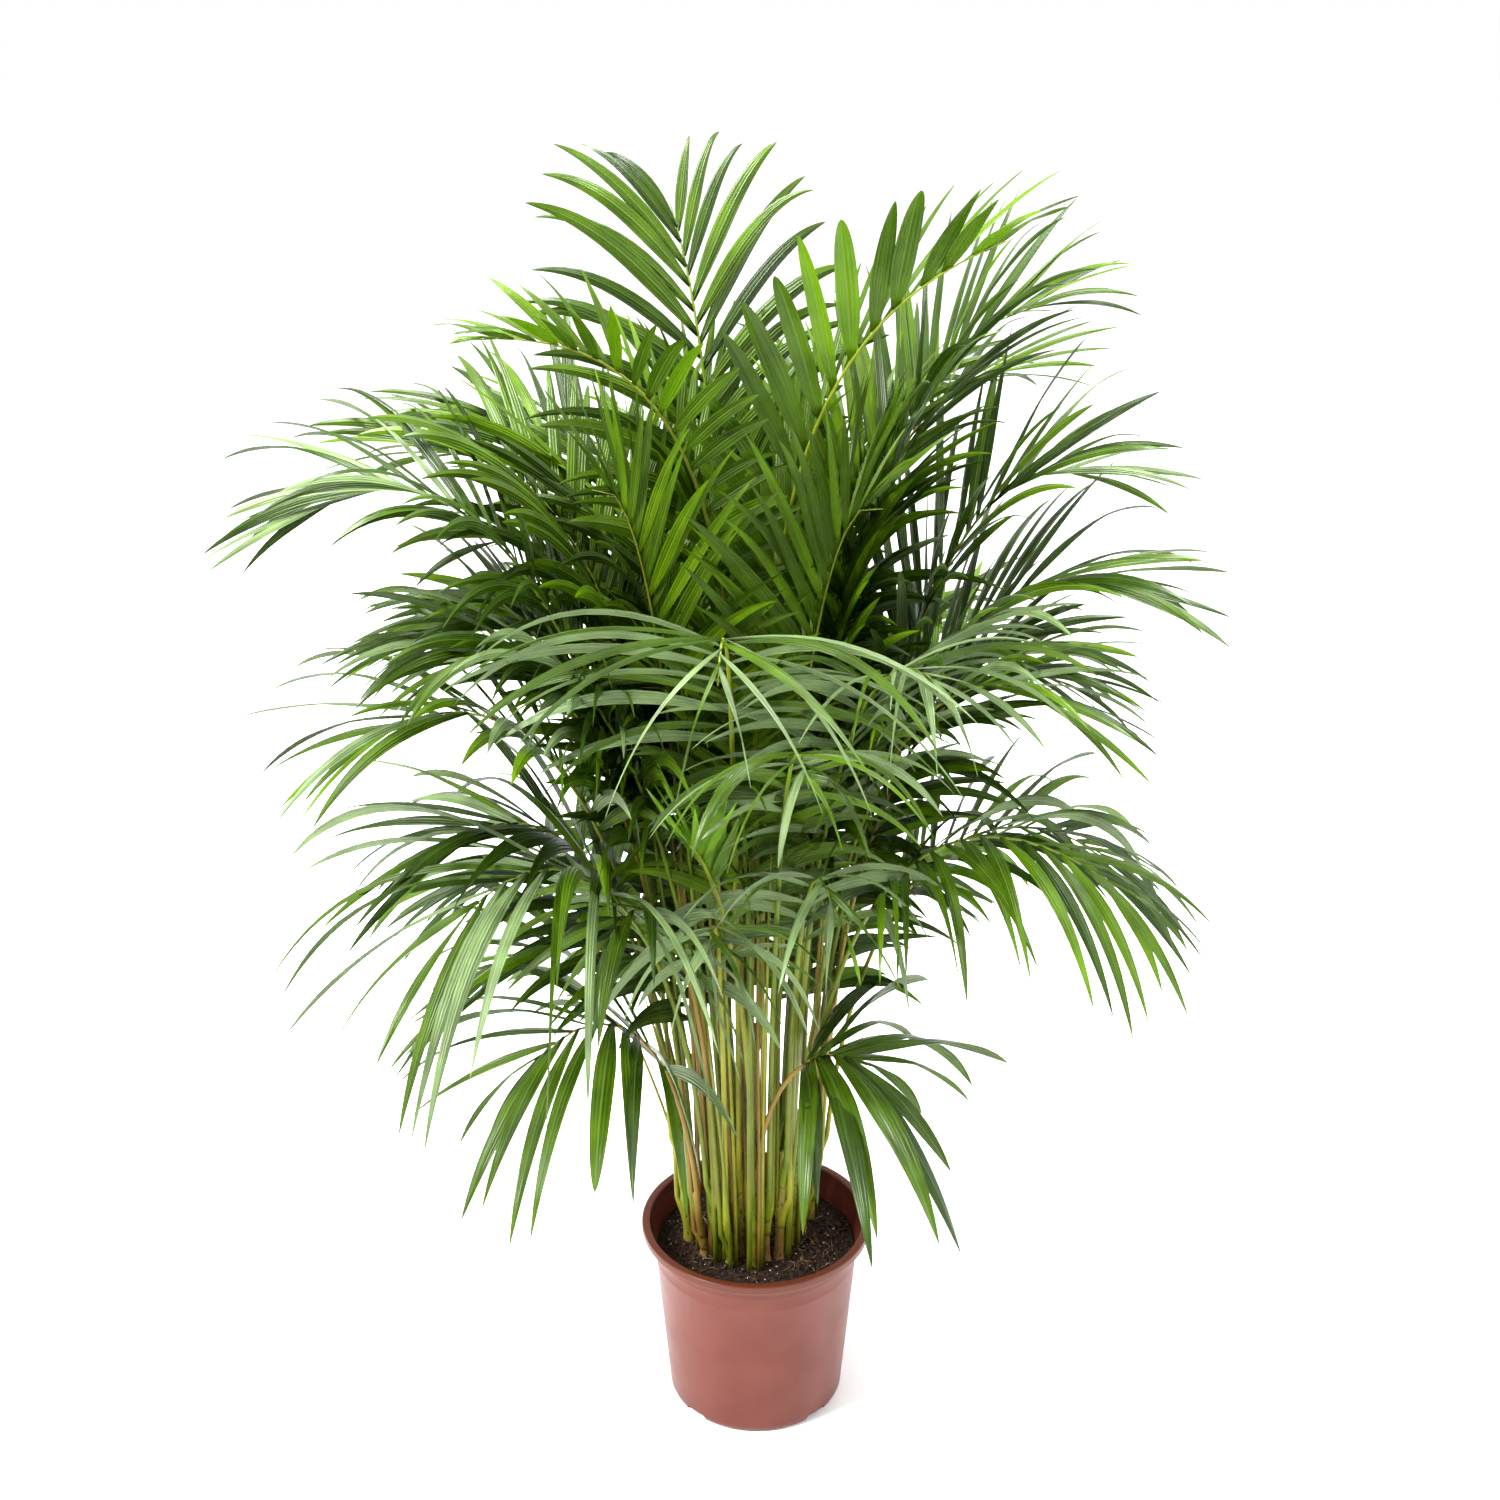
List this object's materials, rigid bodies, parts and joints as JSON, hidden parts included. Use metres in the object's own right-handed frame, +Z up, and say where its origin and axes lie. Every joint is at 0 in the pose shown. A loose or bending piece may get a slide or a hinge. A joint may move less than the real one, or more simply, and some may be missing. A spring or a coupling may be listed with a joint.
{
  "type": "potted areca palm",
  "caption": "Bushy feather palm with slender clustered canes and arching fronds of narrow leaflets, standing in a tapered plastic nursery pot filled with soil.",
  "frame": {"origin": "centre of the pot's flat underside", "axes": "+Z up along the pot's axis; the palm's front faces -Y, and +X is to its right as seen from the front"},
  "size_m": [0.8258, 0.8158, 1.1833],
  "materials": {
    "pot": "smooth moulded plastic in brownish pink, with a soft sheen",
    "soil": "dark damp potting soil of peat and bark, with white grains",
    "cane": "yellow-green cane with ring scars, brown and speckled at its foot",
    "foliage": "leaf green with a soft sheen, yellow-green along the ribs"
  },
  "bodies": {
    "root": {"pot": "pot", "soil": "soil", "cane_01": "cane", "cane_02": "cane", "cane_03": "cane", "cane_04": "cane", "cane_05": "cane", "cane_06": "cane", "cane_07": "cane", "cane_08": "cane", "cane_09": "cane", "cane_10": "cane", "cane_11": "cane", "cane_12": "cane", "cane_13": "cane", "cane_14": "cane", "cane_15": "cane", "frond_crown": "foliage", "frond_front_high": "foliage", "frond_left_high": "foliage", "frond_left_upper": "foliage", "frond_left_upper_near": "foliage", "frond_left_upper_far": "foliage", "frond_left_middle": "foliage", "frond_left_middle_far": "foliage", "frond_left_droop": "foliage", "frond_left_lower": "foliage", "frond_left_foot": "foliage", "frond_left_foot_far": "foliage", "frond_front_arch": "foliage", "frond_front_middle": "foliage", "frond_front_low": "foliage", "frond_low_left": "foliage", "frond_low_right": "foliage", "frond_front_shoot": "foliage", "frond_right_foot": "foliage", "frond_right_lower": "foliage", "frond_right_lower_far": "foliage", "frond_right_near": "foliage", "frond_right_middle": "foliage", "frond_right_middle_far": "foliage", "frond_right_broad": "foliage", "frond_right_upper": "foliage", "frond_right_upper_far": "foliage", "frond_right_high": "foliage", "frond_heart_1": "foliage", "frond_heart_2": "foliage", "frond_heart_3": "foliage", "frond_heart_4": "foliage", "frond_back_high_1": "foliage", "frond_back_high_2": "foliage", "frond_back_high_3": "foliage", "frond_back_middle_1": "foliage", "frond_back_middle_2": "foliage", "frond_back_middle_3": "foliage", "frond_back_middle_4": "foliage", "frond_back_low_1": "foliage", "frond_back_low_2": "foliage", "frond_back_low_3": "foliage"}
  },
  "joints": []
}
